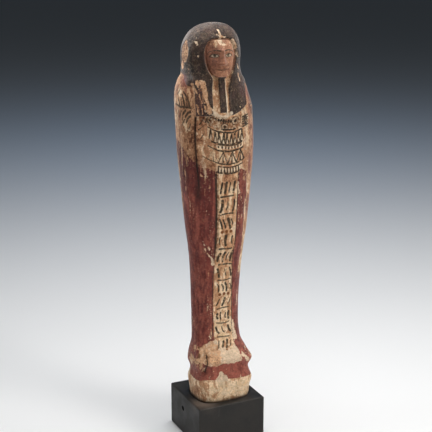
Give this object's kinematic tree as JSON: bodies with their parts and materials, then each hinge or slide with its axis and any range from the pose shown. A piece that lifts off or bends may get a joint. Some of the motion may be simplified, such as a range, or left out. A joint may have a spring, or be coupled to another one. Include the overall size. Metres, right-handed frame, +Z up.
{
  "type": "ptah-sokar-osiris figure",
  "caption": "Slender painted wooden mummiform figure with a tripartite wig, bead collar, painted column of plain strokes and integral foot block, standing in a plain black display block.",
  "frame": {"origin": "middle of the display block's underside, on the surface it stands on", "axes": "+Z up, along the figure's height; the figure faces -Y; +X is to the figure's left"},
  "size_m": [0.0797, 0.074, 0.4256],
  "materials": {
    "painted_wood": "carved wood with thin gesso and worn matt paint in dark red, cream and black",
    "black_block": "matt black paint, slightly worn at the edges"
  },
  "bodies": {
    "root": {"osiris_figure": "painted_wood", "display_block": "black_block"}
  },
  "joints": []
}
